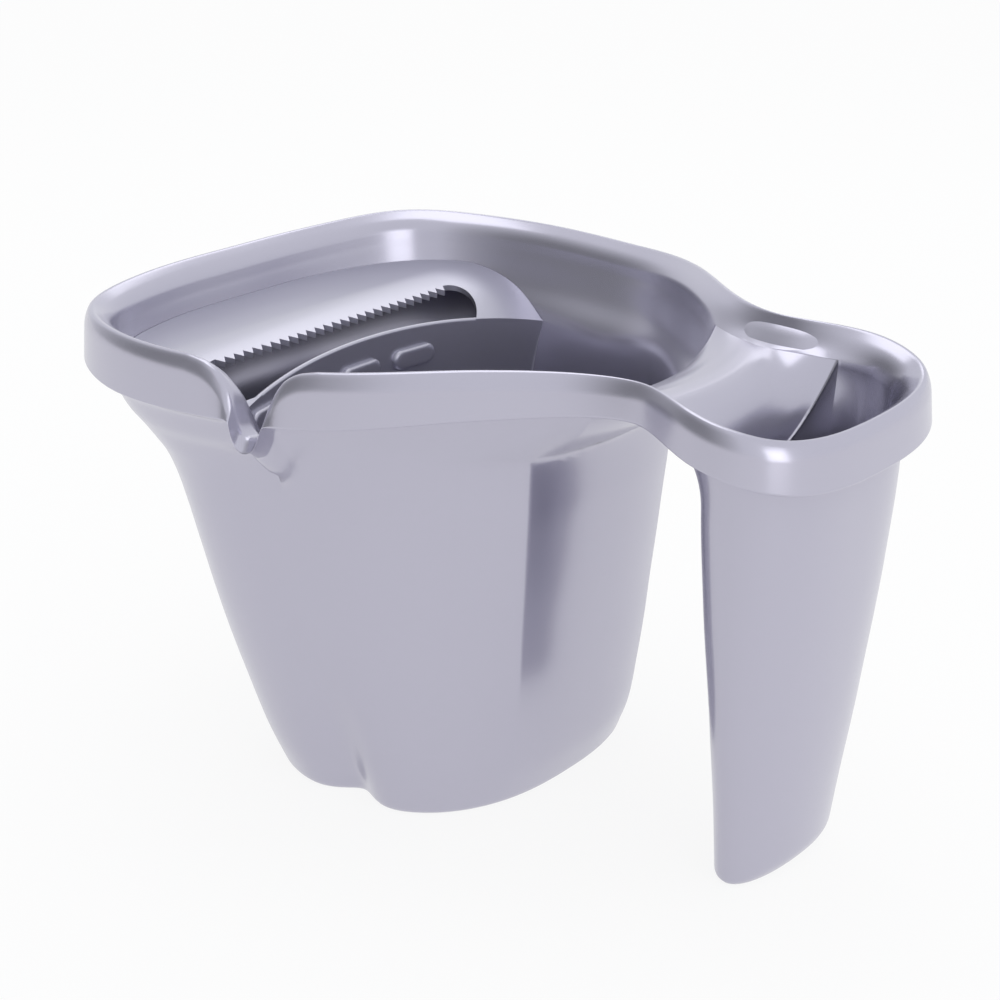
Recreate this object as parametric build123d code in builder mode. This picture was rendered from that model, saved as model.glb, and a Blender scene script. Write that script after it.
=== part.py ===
"""Hand-held cleaning pail with a lift-out wringer insert, as separate moulded pieces.

The frame: X runs from the flared end to the handle, Y to the back, Z up. Y = 0 is the plane of
symmetry of the pail, and the origin lies on the floor under the middle of the whole object.
All sizes are in millimetres.
"""

from build123d import *
import os
from math import atan2, cos, exp, hypot, sin

# ---------------------------------------------------------------- overall sizes
RIM_LENGTH = 330.0  # crest of the lip, flared end to handle end
RIM_WIDTH = 248.0  # crest of the lip, front to back at the widest place
RIM_HEIGHT = 200.0  # crest of the lip over the floor, along the bucket

# Half of the lip's crest as shares of half the length and half the width, flared end first.
RIM_SHAPE = [
    (-1.000, 0.000),
    (-0.998, 0.240),
    (-0.962, 0.530),
    (-0.853, 0.805),
    (-0.690, 0.948),
    (-0.472, 1.000),
    (-0.248, 0.974),
    (-0.038, 0.910),
    (0.152, 0.768),
    (0.345, 0.562),
    (0.590, 0.428),
    (0.788, 0.510),
    (0.915, 0.456),
    (0.979, 0.300),
    (0.997, 0.140),
    (1.000, 0.000),
]
NECK = 10  # the station at the narrowest place, between the bucket and the handle ring
NECK_RISE = 3.0  # the crest swells this much on the way to the neck
HANDLE_DROOP = 12.5  # the crest falls this much from the neck to the handle end

# ---------------------------------------------------------------- lip
WALL = 2.5  # wall of the bucket and of the tube
LIP_INSET = 7.5  # crest of the lip to the outer face of the wall under it
RING_INSET = 7.0  # the same at the handle end
LIP_DROP = 10.0  # crest of the lip down to the top of the wall
LIP_FLARE = 3.0  # the skirt hangs this far outside the crest
LIP_SKIN = 2.4
SKIRT_HEIGHT = 21.0  # crest to the lower edge of the skirt
SEAM = 0.05  # clearance where one moulded piece seats on another
LIP_SECTIONS = 28

# ---------------------------------------------------------------- bucket
FLOOR = 2.5
BASE_CENTRE_X = -34.0
BASE_HALF_LENGTH = 63.0
BASE_HALF_WIDTH = 77.5
BASE_SQUARENESS = 2.45  # exponent of the superellipse under the bucket
END_WALL_X = 70.0  # top of the bucket's wall on the handle side
END_WALL_BOW = 8.0  # how far that wall bows toward the handle
FLARE_HEIGHTS = [0.0, 20.0, 40.0, 60.0, 80.0, 100.0, 120.0, 135.0, 145.0, 155.0, 165.0, 175.0]
# Shares of the way from the base to the lip at those heights, at the flared end...
FLARE_LEFT = [0.0, 0.15, 0.26, 0.36, 0.445, 0.52, 0.595, 0.66, 0.735, 0.85, 0.94, 0.985]
# ...and on the handle side.
FLARE_RIGHT = [0.0, 0.18, 0.26, 0.325, 0.375, 0.43, 0.48, 0.52, 0.54, 0.575, 0.66, 0.84]
FLUTE_DEPTH = 9.5
FLUTE_HEIGHT = 75.0
FLUTE_ANGLE = 1.48  # direction of the back flute from the middle of the base, radians
FLUTE_SPREAD = 0.16  # radians round the foot
OUTLINE_POINTS = 56

# ---------------------------------------------------------------- handle tube
TUBE_HEIGHTS = [0.0, 24.0, 66.0, 120.0, 160.0, 200.0]
TUBE_CENTRES = [130.0, 131.0, 132.8, 134.2, 134.8, 135.0]
TUBE_HALF_LENGTHS = [15.5, 17.5, 20.5, 22.8, 23.8, 23.8]
TUBE_HALF_WIDTHS = [34.0, 36.5, 43.0, 50.0, 52.5, 53.0]

# ---------------------------------------------------------------- saddle
SADDLE_SKIN = 2.5
SADDLE_STATIONS = [48.0, 66.0, 82.0, 96.0, 110.0, 128.0]
SADDLE_HEIGHTS = [170.0, 180.5, 188.0, 190.0, 186.5, 177.0]  # middle line of its top face

# ---------------------------------------------------------------- wringer insert
DECK_DROP = 20.0  # crest of the lip down to the deck
INSERT_SKIN = 2.5
INSERT_CLEARANCE = 0.5
FOLD_X = -84.5  # face of the apron on the plane of symmetry
FOLD_RADIUS = 276.0  # the apron bows toward the flared end with this radius
SLOPE_TOE_X = -70.5  # the rounded slope of the deck ends here, at the wall
SLOPE_LENGTH = 46.0
SLOPE_FALL = 16.5
APRON_BOTTOM = 103.5  # lower edge of the apron over the floor
SLOT_X = -100.0  # roots of the teeth
SLOT_HALF_WIDTH = 79.0
SLOT_BELLY = 8.0  # roots of the teeth to the widest place of the slot
SLOT_NARROWING = 13.0  # each end of the slot comes in this much on its way to the apron
RIDGE = 5.0  # strip of the deck that the rounded ends leave along the apron
TEETH = 27
TEETH_SPAN = 144.0
TOOTH_DEPTH = 3.2
RIBS = 4
RIB_LENGTH = 24.0
RIB_WIDTH = 9.0
RIB_STAND = 2.5
RIB_PITCH = 32.5
RIB_ROW_Y = -18.5  # middle of the row
RIB_Z = 156.0
RIB_ROW_DEPTH = 40.0  # covers the bow of the apron along the row

# ---------------------------------------------------------------- spout
SPOUT_X = -34.0
# The notch in the lip, as places across and up from the crest at the spout's middle.
SPOUT_NOTCH = [
    (-16.5, 5.0),
    (-15.5, -3.0),
    (-4.0, -30.0),
    (0.0, -33.0),
    (4.0, -30.0),
    (14.0, -6.0),
    (19.0, 5.0),
]
SPOUT_SKIN = 2.2
SPOUT_REACH = 3.0  # the chin stands this far outside the lip's crest


# ---------------------------------------------------------------- outlines
def mirrored(half):
    """A closed loop from its half with Y >= 0, which starts and ends on the plane of symmetry."""
    return half + [(x, -y) for x, y in reversed(half[1:-1])]


def smooth(value):
    """Zero to one with level ends."""
    value = min(1.0, max(0.0, value))
    return value * value * (3 - 2 * value)


def reading(places, values, place):
    """Straight-line reading between the stations of a list."""
    for i in range(len(places) - 1):
        if place <= places[i + 1]:
            share = (place - places[i]) / (places[i + 1] - places[i])
            return values[i] + max(0.0, share) * (values[i + 1] - values[i])
    return values[-1]


def crest_height(x):
    """Height of the lip's crest above the floor, from its place along the object."""
    neck = RIM_SHAPE[NECK][0] * RIM_LENGTH / 2
    end = RIM_LENGTH / 2
    if x > neck:
        return RIM_HEIGHT + NECK_RISE - HANDLE_DROOP * ((x - neck) / (end - neck)) ** 1.6
    return RIM_HEIGHT + NECK_RISE * smooth(1 - (neck - x) / (0.55 * end))


def lip_inset(x):
    """Distance from the lip's crest to the outer face of the wall under it."""
    neck = RIM_SHAPE[NECK][0] * RIM_LENGTH / 2
    return LIP_INSET + (RING_INSET - LIP_INSET) * smooth((x - neck) / (RIM_LENGTH / 2 - neck))


def inset(loop, distance):
    """A closed clockwise loop moved inward, by one distance or by a function of x."""
    result = []
    for i, (x, y) in enumerate(loop):
        before = loop[i - 1]
        after = loop[(i + 1) % len(loop)]
        dx = after[0] - before[0]
        dy = after[1] - before[1]
        move = distance(x) if callable(distance) else distance
        result.append((x + move * dy / hypot(dx, dy), y - move * dx / hypot(dx, dy)))
    return result


def respaced(loop, count):
    """The smooth closed curve through a loop, as evenly spaced points."""
    curve = Edge.make_spline([Vector(x, y, 0) for x, y in loop], periodic=True)
    places = [curve.position_at(i / count) for i in range(count)]
    return [(place.X, place.Y) for place in places]


rim_half = [(x * RIM_LENGTH / 2, y * RIM_WIDTH / 2) for x, y in RIM_SHAPE]
wall_line = inset(mirrored(rim_half), lip_inset)
wall_top = RIM_HEIGHT - LIP_DROP


def bucket_top():
    """Outer face of the bucket at the lip: along the lip, then across the neck."""
    sides = wall_line[: NECK - 1]
    width = sides[-1][1]
    shoulder = (END_WALL_X - 2.2 * END_WALL_BOW, 0.74 * width)
    bow = (END_WALL_X - 0.8 * END_WALL_BOW, 0.42 * width)
    return mirrored(sides + [shoulder, bow, (END_WALL_X, 0.0)])


def tube_top():
    """Outer face of the tube at the lip: across the neck, then along the ring."""
    near = TUBE_CENTRES[-1] - TUBE_HALF_LENGTHS[-1]
    width = wall_line[NECK + 1][1]
    across = [(near, 0.0), (near + 1.0, 0.42 * width), (near + 6.0, 0.78 * width)]
    return mirrored(across + wall_line[NECK + 1: len(rim_half)])


bucket_top_loop = respaced(bucket_top(), OUTLINE_POINTS)
tube_top_loop = respaced(tube_top(), OUTLINE_POINTS)


def base_point(angle):
    """A point of the superellipse under the bucket, in a direction from its middle."""
    across = abs(cos(angle)) / BASE_HALF_LENGTH
    along = abs(sin(angle)) / BASE_HALF_WIDTH
    radius = (across ** BASE_SQUARENESS + along ** BASE_SQUARENESS) ** (-1 / BASE_SQUARENESS)
    return BASE_CENTRE_X + radius * cos(angle), radius * sin(angle)


def bucket_outline(z, thickness=0.0):
    """The bucket's section at a height, inside its outer face by a thickness."""
    heights = FLARE_HEIGHTS + [wall_top]
    left = reading(heights, FLARE_LEFT + [1.0], z)
    right = reading(heights, FLARE_RIGHT + [1.0], z)
    fade = FLUTE_DEPTH * smooth(1 - z / FLUTE_HEIGHT)
    loop = []
    for top_x, top_y in bucket_top_loop:
        angle = atan2(top_y, top_x - BASE_CENTRE_X)
        base_x, base_y = base_point(angle)
        share = right + (left - right) * smooth((BASE_CENTRE_X + 10 - top_x) / 90)
        pull = fade * exp(-(((abs(angle) - FLUTE_ANGLE) / FLUTE_SPREAD) ** 2))
        x = base_x + share * (top_x - base_x) - pull * cos(angle)
        y = base_y + share * (top_y - base_y) - pull * sin(angle)
        loop.append((x, y))
    return inset(loop, thickness)


def tube_outline(z, thickness=0.0):
    """The tube's section at a height: an oval that turns into the ring's outline at the top."""
    centre = reading(TUBE_HEIGHTS, TUBE_CENTRES, z)
    length = reading(TUBE_HEIGHTS, TUBE_HALF_LENGTHS, z)
    width = reading(TUBE_HEIGHTS, TUBE_HALF_WIDTHS, z)
    share = smooth((z - 100) / 70)
    loop = []
    for top_x, top_y in tube_top_loop:
        across = (top_x - TUBE_CENTRES[-1]) / TUBE_HALF_LENGTHS[-1]
        angle = atan2(top_y / TUBE_HALF_WIDTHS[-1], across)
        x = centre + length * cos(angle)
        y = width * sin(angle)
        loop.append((x + share * (top_x - x), y + share * (top_y - y)))
    return inset(loop, thickness)


def level_section(loop, z):
    """A level face inside a loop."""
    with BuildSketch(Plane.XY.offset(z)) as level:
        with BuildLine():
            Spline(*loop, periodic=True)
        make_face()
    return level.sketch.face()


def bucket_sections(heights, thickness=0.0):
    """Faces of the bucket's form, shrunk by a thickness, to loft through."""
    return [level_section(bucket_outline(z, thickness), z) for z in heights]


def tube_sections(heights, thickness=0.0):
    """Faces of the tube's form, shrunk by a thickness, to loft through."""
    return [level_section(tube_outline(z, thickness), z) for z in heights]


OVER = RIM_HEIGHT + 20.0  # a height above everything
BUCKET_LEVELS = [0.0, 30.0, 60.0, 95.0, 125.0, 145.0, 160.0, 175.0, wall_top, OVER]
TUBE_LEVELS = [0.0, 24.0, 66.0, 110.0, 145.0, 175.0, OVER]


def void_heights(levels):
    """The levels of an inner form, which starts on the floor's upper face."""
    return [FLOOR] + levels[1:]


# ---------------------------------------------------------------- lip
def stretched(half, extra):
    """The half of a loop with a few stations more, mirrored past both of its ends."""
    before = [(x, -y) for x, y in reversed(half[1: extra + 1])]
    after = [(x, -y) for x, y in reversed(half[-extra - 1: -1])]
    return before + half + after


crest_places = [Vector(x, y, crest_height(x)) for x, y in stretched(rim_half, 3)]
crest = Edge.make_spline(crest_places)
crest_start = crest.param_at_point(crest_places[3])
crest_end = crest.param_at_point(crest_places[-4])


def crest_plane(share):
    """Upright plane across the crest, its x axis pointing out of the object.

    The share goes from 0 at the flared end to 1 at the handle end.
    """
    if share in (0, 1):
        side = 2 * share - 1
        end = side * RIM_LENGTH / 2
        return Plane(origin=(end, 0, crest_height(end)), x_dir=(side, 0, 0), z_dir=(0, -side, 0))
    place = crest_start + share * (crest_end - crest_start)
    along = crest.tangent_at(place)
    across = (-along.Y, along.X, 0)
    return Plane(origin=crest.position_at(place), x_dir=across, z_dir=(along.X, along.Y, 0))


def lip_section(share):
    """Section of the lip: root on the wall, rounded top, hanging skirt."""
    plane = crest_plane(share)
    outer = -lip_inset(plane.origin.X)
    root = outer - WALL
    tip = LIP_FLARE + 0.5
    with BuildSketch(plane) as lip:
        with BuildLine():
            top = Spline(
                (root, -LIP_DROP),
                (0.62 * root, -0.2 * LIP_DROP),
                (0, 0),
                (LIP_FLARE, -5.0),
                tangents=[(0.3, 1), (0.05, -1)],
            )
            skirt = Line(top @ 1, (tip, -SKIRT_HEIGHT))
            edge = Line(skirt @ 1, (tip - LIP_SKIN, -SKIRT_HEIGHT))
            inside = Line(edge @ 1, (LIP_FLARE - LIP_SKIN, -5.6))
            under = Spline(
                inside @ 1,
                (-0.6, -LIP_SKIN - 0.3),
                (0.62 * root + 0.9, -0.2 * LIP_DROP - LIP_SKIN),
                (outer, -LIP_DROP),
                tangents=[(-0.05, 1), (-0.3, -1)],
            )
            Line(under @ 1, top @ 0)
        make_face()
    return lip.sketch.face()


def above_lip_root(share):
    """Section of all that lies above the lip's root, to trim what stands under it."""
    low = -LIP_DROP - SEAM
    with BuildSketch(crest_plane(share)) as over:
        with BuildLine():
            Polyline((-16, low), (0, low), (0, 30), (-16, 30), close=True)
        make_face()
    return over.sketch.face()


def along_crest(make_section, past=0):
    """Sections along half of the crest and a few more past its ends, to loft through."""
    return [make_section(i / LIP_SECTIONS) for i in range(-past, LIP_SECTIONS + 1 + past)]


def notch(grow=0.0):
    """Outline of the spout's notch on the front, grown outward by a distance."""
    loop = [(SPOUT_X + across, RIM_HEIGHT + up) for across, up in SPOUT_NOTCH]
    with BuildSketch(Plane.XZ) as opening:
        with BuildLine():
            Polyline(*inset(loop, grow), close=True)
        make_face()
    return opening.sketch.face()


with BuildPart() as lip_trim:
    loft(along_crest(above_lip_root))
    mirror(about=Plane.XZ)


# ---------------------------------------------------------------- saddle
def saddle_section(station, low, high, ledge=0.0):
    """Section of the saddle across the neck, from low to high over its top face."""
    x = SADDLE_STATIONS[station]
    places = [place for place, _ in wall_line[: len(rim_half)]]
    widths = [width for _, width in wall_line[: len(rim_half)]]
    side = reading(places, widths, x) - SEAM
    middle = SADDLE_HEIGHTS[station]
    edge = crest_height(x) - LIP_DROP - SEAM
    with BuildSketch(Plane.YZ.offset(x)) as across:
        with BuildLine():
            under = ThreePointArc((-side, edge + low), (0, middle + low), (side, edge + low))
            if ledge:
                out = side + ledge
                foot = edge + low
                Polyline(under @ 1, (out, foot), (out, high), (-out, high), (-out, foot), under @ 0)
            else:
                top = ThreePointArc((-side, edge + high), (0, middle + high), (side, edge + high))
                Line(under @ 1, top @ 1)
                Line(under @ 0, top @ 0)
        make_face()
    return across.sketch.face()


with BuildPart() as bucket_void:
    loft(bucket_sections(void_heights(BUCKET_LEVELS), WALL))

with BuildPart() as tube_void:
    loft(tube_sections(void_heights(TUBE_LEVELS), WALL))

stations = range(len(SADDLE_STATIONS))

with BuildPart() as over_saddle:
    loft([saddle_section(i, -SADDLE_SKIN - SEAM, OVER + 5.0, LIP_INSET) for i in stations])

with BuildPart() as saddle_bridge:
    loft([saddle_section(i, -SADDLE_SKIN, 0.0) for i in stations])
    add(bucket_void.part, mode=Mode.SUBTRACT)
    add(tube_void.part, mode=Mode.SUBTRACT)


# ---------------------------------------------------------------- lip
with BuildPart() as rim_collar:
    loft(along_crest(lip_section, 1))
    split(bisect_by=Plane.XZ, keep=Keep.BOTTOM)
    mirror(about=Plane.XZ)
    extrude(notch(), amount=RIM_WIDTH, mode=Mode.SUBTRACT)


# ---------------------------------------------------------------- bucket
with BuildPart() as pail_shell:
    loft(bucket_sections(BUCKET_LEVELS))
    add(bucket_void.part, mode=Mode.SUBTRACT)
    add(over_saddle.part, mode=Mode.SUBTRACT)
    add(lip_trim.part, mode=Mode.SUBTRACT)
    extrude(notch(SPOUT_SKIN), amount=RIM_WIDTH, mode=Mode.SUBTRACT)
    add(pail_shell.part.solids().sort_by(SortBy.VOLUME)[-1], mode=Mode.REPLACE)


# ---------------------------------------------------------------- handle tube
with BuildPart() as handle_tube:
    loft(tube_sections(TUBE_LEVELS))
    add(tube_void.part, mode=Mode.SUBTRACT)
    add(over_saddle.part, mode=Mode.SUBTRACT)
    add(lip_trim.part, mode=Mode.SUBTRACT)
    add(handle_tube.part.solids().sort_by(SortBy.VOLUME)[-1], mode=Mode.REPLACE)


# ---------------------------------------------------------------- spout
with BuildPart() as pour_spout:
    extrude(notch(SPOUT_SKIN), amount=RIM_WIDTH)
    extrude(notch(), amount=RIM_WIDTH, mode=Mode.SUBTRACT)
    with BuildSketch(Plane.XY) as reach:
        with BuildLine():
            Spline(*inset(mirrored(rim_half), -SPOUT_REACH), periodic=True)
        make_face()
    extrude(reach.sketch, amount=RIM_HEIGHT - 1.5, mode=Mode.INTERSECT)
    add(bucket_void.part, mode=Mode.SUBTRACT)
    add(rim_collar.part, mode=Mode.SUBTRACT)
    add(pour_spout.part.solids().sort_by(SortBy.VOLUME)[-1], mode=Mode.REPLACE)


# ---------------------------------------------------------------- wringer insert
deck_z = RIM_HEIGHT - DECK_DROP
fold_centre = FOLD_X + FOLD_RADIUS
void_gap = WALL + INSERT_CLEARANCE
insert_levels = void_heights(BUCKET_LEVELS)


def deck_top_line(low):
    """Side view of the deck's top face from the flared end over the slope, moved down by low."""
    start = SLOPE_TOE_X - SLOPE_LENGTH
    flat = Line((-RIM_LENGTH / 2, deck_z - low), (start, deck_z - low))
    Spline(
        flat @ 1,
        (start + 0.62 * SLOPE_LENGTH, deck_z - low - 0.3 * SLOPE_FALL),
        (SLOPE_TOE_X, deck_z - low - SLOPE_FALL),
        tangents=[(1, 0), (0.62, -0.78)],
    )


def deck_profile(low, high):
    """Side view of a sheet that lies from low to high under the deck's top face."""
    with BuildSketch(Plane.XZ) as profile:
        with BuildLine():
            deck_top_line(low)
            deck_top_line(high)
            Line((-RIM_LENGTH / 2, deck_z - low), (-RIM_LENGTH / 2, deck_z - high))
            toe = deck_z - SLOPE_FALL
            Line((SLOPE_TOE_X, toe - low), (SLOPE_TOE_X, toe - high))
        make_face()
    return profile.sketch.face()


def slot_outline():
    """The slot in plan: teeth on its straight side, rounded ends, open over the apron."""
    pitch = TEETH_SPAN / TEETH
    teeth = []
    for i in range(TEETH):
        y = -TEETH_SPAN / 2 + i * pitch
        teeth += [(SLOT_X, y), (SLOT_X + TOOTH_DEPTH, y + pitch / 2)]
    teeth.append((SLOT_X, TEETH_SPAN / 2))
    ridge = FOLD_X + RIDGE
    beyond = SLOPE_TOE_X + RIDGE
    narrow = SLOT_HALF_WIDTH - SLOT_NARROWING
    with BuildSketch(Plane.XY.offset(APRON_BOTTOM)) as slot:
        with BuildLine():
            Polyline(*teeth)
            for side in (-1, 1):
                end = Spline(
                    (SLOT_X, side * TEETH_SPAN / 2),
                    (SLOT_X + SLOT_BELLY, side * SLOT_HALF_WIDTH),
                    (ridge, side * narrow),
                    tangents=[(0.3, side * 1.0), (0.4, -side * 1.0)],
                )
                Line(end @ 1, (beyond, side * narrow))
            Line((beyond, narrow), (beyond, -narrow))
        make_face()
    return slot.sketch.face()


with BuildPart() as fold_inside:
    with BuildSketch(Plane.XY):
        with Locations((fold_centre, 0)):
            Circle(FOLD_RADIUS)
    extrude(amount=OVER)

with BuildPart() as wringer_deck:
    extrude(deck_profile(0.0, INSERT_SKIN), amount=RIM_WIDTH / 2, both=True)
    loft(bucket_sections(insert_levels, void_gap), mode=Mode.INTERSECT)
    add(fold_inside.part, mode=Mode.SUBTRACT)
    extrude(slot_outline(), amount=deck_z, mode=Mode.SUBTRACT)

with BuildPart() as wringer_apron:
    with BuildSketch(Plane.XY.offset(APRON_BOTTOM)):
        with Locations((fold_centre, 0)):
            Circle(FOLD_RADIUS + INSERT_SKIN)
            Circle(FOLD_RADIUS, mode=Mode.SUBTRACT)
    extrude(amount=deck_z - APRON_BOTTOM)
    loft(bucket_sections(insert_levels, void_gap), mode=Mode.INTERSECT)
    extrude(deck_profile(-DECK_DROP, 0.0), amount=RIM_WIDTH / 2, both=True, mode=Mode.SUBTRACT)
    add(wringer_deck.part, mode=Mode.SUBTRACT)

with BuildPart() as wringer_ribs:
    with BuildSketch(Plane.YZ.offset(FOLD_X - RIB_STAND)) as rib_row:
        with Locations((RIB_ROW_Y, RIB_Z)):
            with GridLocations(RIB_PITCH, 1, RIBS, 1):
                SlotOverall(RIB_LENGTH, RIB_WIDTH)
    extrude(amount=RIB_ROW_DEPTH)
    with BuildSketch(Plane.XY) as stand:
        with Locations((fold_centre, 0)):
            Circle(FOLD_RADIUS)
            Circle(FOLD_RADIUS - RIB_STAND, mode=Mode.SUBTRACT)
    extrude(stand.sketch, amount=OVER, mode=Mode.INTERSECT)


# ---------------------------------------------------------------- files
os.makedirs("parts", exist_ok=True)
pieces = {
    "pail_shell": pail_shell,
    "rim_collar": rim_collar,
    "pour_spout": pour_spout,
    "saddle_bridge": saddle_bridge,
    "handle_tube": handle_tube,
    "wringer_deck": wringer_deck,
    "wringer_apron": wringer_apron,
    "wringer_ribs": wringer_ribs,
}
for name, piece in pieces.items():
    piece.part.label = name
    export_step(piece.part, f"parts/{name}.step")
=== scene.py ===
"""Looks of the hand-held pail with its wringer insert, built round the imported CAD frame.

The pail is one moulding on the real object. Its surfaces are worked out together, in millimetres,
on one net of stations along the lip, so that they meet exactly, and are then given to one mesh for
each CAD node. The insert is made in the same way. X runs to the handle, Y to the back, Z up.
"""

import math

import bpy
import numpy as np
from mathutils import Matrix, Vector
from mathutils.geometry import delaunay_2d_cdt


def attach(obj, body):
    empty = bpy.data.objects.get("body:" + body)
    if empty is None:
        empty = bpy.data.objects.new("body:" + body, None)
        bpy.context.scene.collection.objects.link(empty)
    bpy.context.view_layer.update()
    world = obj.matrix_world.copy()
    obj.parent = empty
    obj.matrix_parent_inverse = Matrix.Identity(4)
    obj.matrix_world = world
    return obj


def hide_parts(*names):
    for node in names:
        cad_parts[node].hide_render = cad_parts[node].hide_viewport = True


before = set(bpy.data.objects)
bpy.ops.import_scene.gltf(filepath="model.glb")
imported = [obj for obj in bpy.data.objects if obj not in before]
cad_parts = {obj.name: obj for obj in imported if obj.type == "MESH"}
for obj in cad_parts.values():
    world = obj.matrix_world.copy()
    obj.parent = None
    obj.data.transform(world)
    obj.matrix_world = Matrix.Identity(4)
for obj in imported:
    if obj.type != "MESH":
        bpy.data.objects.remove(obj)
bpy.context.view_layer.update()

MM = 0.001  # metres in a millimetre

# ------------------------------------------------------------------ sizes, in millimetres
RIM_LENGTH = 330.0
RIM_WIDTH = 248.0
RIM_HEIGHT = 200.0
RIM_SHAPE = [  # half of the lip's crest, as shares of half the length and half the width
    (-1.000, 0.000),
    (-0.998, 0.240),
    (-0.963, 0.530),
    (-0.860, 0.808),
    (-0.690, 0.948),
    (-0.472, 1.000),
    (-0.248, 0.974),
    (-0.038, 0.910),
    (0.152, 0.768),
    (0.345, 0.562),
    (0.590, 0.428),
    (0.788, 0.510),
    (0.915, 0.456),
    (0.979, 0.300),
    (0.997, 0.140),
    (1.000, 0.000),
]
NECK_X = 0.590 * RIM_LENGTH / 2
NECK_RISE = 3.3  # the crest rises this much from the bucket to the neck...
NECK_RISE_START = -30.0
NECK_RISE_RUN = 75.0
HANDLE_DROOP = 12.5  # ...and falls this much from the neck to the end of the ring
DROOP_POWER = 1.6
CORNER_LIFT = 2.2  # the crest swells this much at the back corner of the flared end
CORNER = (-146.0, 96.0)
CORNER_REACH = 38.0
CREST_SAMPLES = 300  # samples of the crest for each place of its shape
STATION_DENSITY = 0.42  # stations for each millimetre of the crest...
SPOUT_DENSITY = 1.7  # ...and how many more at the spout and round the ring
RING_DENSITY = 0.35

WALL = 2.5
LIP_INSET = 7.5
RING_INSET = 7.0
LIP_DROP = 12.0  # crest of the lip down to the top of the inner wall
LIP_UNDER = 11.0  # crest down to the top of the outer wall, inside the hollow skirt
LIP_FLARE = 3.2  # the skirt's lower edge hangs this far outside the crest
LIP_SKIN = 2.4
LIP_DROP_NOTCH = 2.0  # the same drop at the bottom of the spout's notch
LIP_SWELL_X = 92.0  # the lip's inner slope is fuller round this place on the neck
LIP_SWELL_REACH = 24.0
SKIRT_PLACES = [-165.0, -100.0, -40.0, 0.0, 45.0, 97.0, 130.0, 165.0]
SKIRT_HEIGHTS = [19.0, 23.5, 22.5, 21.5, 18.5, 15.5, 18.0, 20.0]
SKIRT_SHARPNESS = 1.2  # how sharply the skirt's height turns to the chin's
SKIRT_RUN_OUT = 7.0  # a filled skirt meets the wall this far under its edge

FLOOR = 2.5
BASE_CENTRE_X = -34.0
BASE_HALF_LENGTH = 63.0
BASE_HALF_WIDTH = 77.5
BASE_SQUARENESS = 2.45
BASE_ROUND = 3.5
INNER_ROUND = 5.0
FLARE_HEIGHTS = [0, 20, 40, 60, 80, 100, 120, 135, 145, 155, 165, 175, 190]
# Shares of the way from the base to the lip at those heights, at the flared end...
FLARE_LEFT = [0, 0.15, 0.26, 0.36, 0.445, 0.52, 0.595, 0.66, 0.715, 0.79, 0.865, 0.94, 1.0]
# ...and on the handle side.
FLARE_RIGHT = [0, 0.18, 0.26, 0.325, 0.375, 0.43, 0.48, 0.52, 0.54, 0.575, 0.66, 0.84, 1.0]
FLARE_TOP = 190.0  # the wall's top counts as this height...
FLARE_TURN = 125.0  # ...worked in from this height up
FLUTE_DEPTH = 9.5
FLUTE_HEIGHT = 75.0
FLUTE_ANGLE = 1.48
FLUTE_SPREAD = 0.16

END_WALL_X = 67.0  # top of the inner end wall, on the plane of symmetry
COVE_START = 160.0  # the cone of the bucket ends here on the handle side, in a crease
COVE_X = 84.0  # the cove under the neck reaches this far
COVE_POWER = 1.6
COVE_ANGLE = 0.72  # the cove is whole this far round from the handle side, in radians...
COVE_SPREAD = 0.36  # ...and fades out over this much more

TUBE_HEIGHTS = [0.0, 24.0, 66.0, 120.0, 160.0, 200.0]
TUBE_CENTRES = [130.0, 131.0, 132.8, 134.2, 134.8, 135.0]
TUBE_HALF_LENGTHS = [15.5, 17.5, 20.5, 22.8, 23.8, 23.8]
TUBE_HALF_WIDTHS = [34.0, 36.5, 43.0, 50.0, 52.5, 53.0]
TUBE_SQUARENESS = [2.0, 2.0, 2.05, 2.35, 2.6, 2.7]
TUBE_MOUTH_X = 113.5
TUBE_NECK_X = 106.0
TUBE_TURN = 158.0  # over this height the tube's oval turns into the line of its mouth
TUBE_ROLL = 168.0  # and over this one it rolls out to the lip
TUBE_ROLL_POWER = 2.2
TUBE_ROUND = 3.0  # rounding of the tube's foot on the bucket's side...
TUBE_EDGE_SWELL = 2.4  # ...and how many times more it is on the outer end
SADDLE_POWER = 2.2  # how sharply the saddle turns up to the lip at its sides

SPOUT_X = -34.0
SPOUT_HALF_WIDTH = 16.0
NOTCH = [  # the crest along the spout's notch, as x and depth under the lip
    (-60.0, 0.0),
    (-53.0, 1.3),
    (-48.0, 3.6),
    (-44.4, 6.8),
    (-41.2, 11.5),
    (-39.4, 17.5),
    (-38.0, 24.0),
    (-36.0, 28.0),
    (-33.0, 29.5),
    (-29.5, 28.3),
    (-27.0, 24.5),
    (-25.0, 19.0),
    (-22.4, 12.3),
    (-20.0, 8.0),
    (-16.0, 3.6),
    (-10.0, 0.8),
    (-4.0, 0.0),
]
CHIN_SKIRT = 4.5  # height of the skirt left at the spout's lowest point

DECK_DROP = 20.0
INSERT_SKIN = 2.5
INSERT_GAP = 0.5
FOLD_X = -84.5
FOLD_RADIUS = 276.0
SLOPE_TOE_X = -70.5
SLOPE_LENGTH = 46.0
SLOPE_FALL = 16.5
SLOPE_POWER = 1.7
APRON_BOTTOM = 103.5
APRON_TOP = 166.0  # about where it meets the deck
APRON_SEAT = 0.9  # the apron's rounded edge starts this far under the deck's face
APRON_COLUMNS = 110
APRON_ROWS = 14
CROWN_STEPS = 12
SLOT_X = -100.0
SLOT_HALF_WIDTH = 79.0
SLOT_FRONT_REACH = 16.0  # the slot runs on under the lip at the front
SLOT_NARROWING = 13.0
SLOT_END_STEPS = 24
TEETH = 27
TEETH_SPAN = 144.0
TOOTH_DEPTH = 3.4
RIBS = 4
RIB_LENGTH = 24.0
RIB_WIDTH = 9.0
RIB_STAND = 2.5
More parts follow.
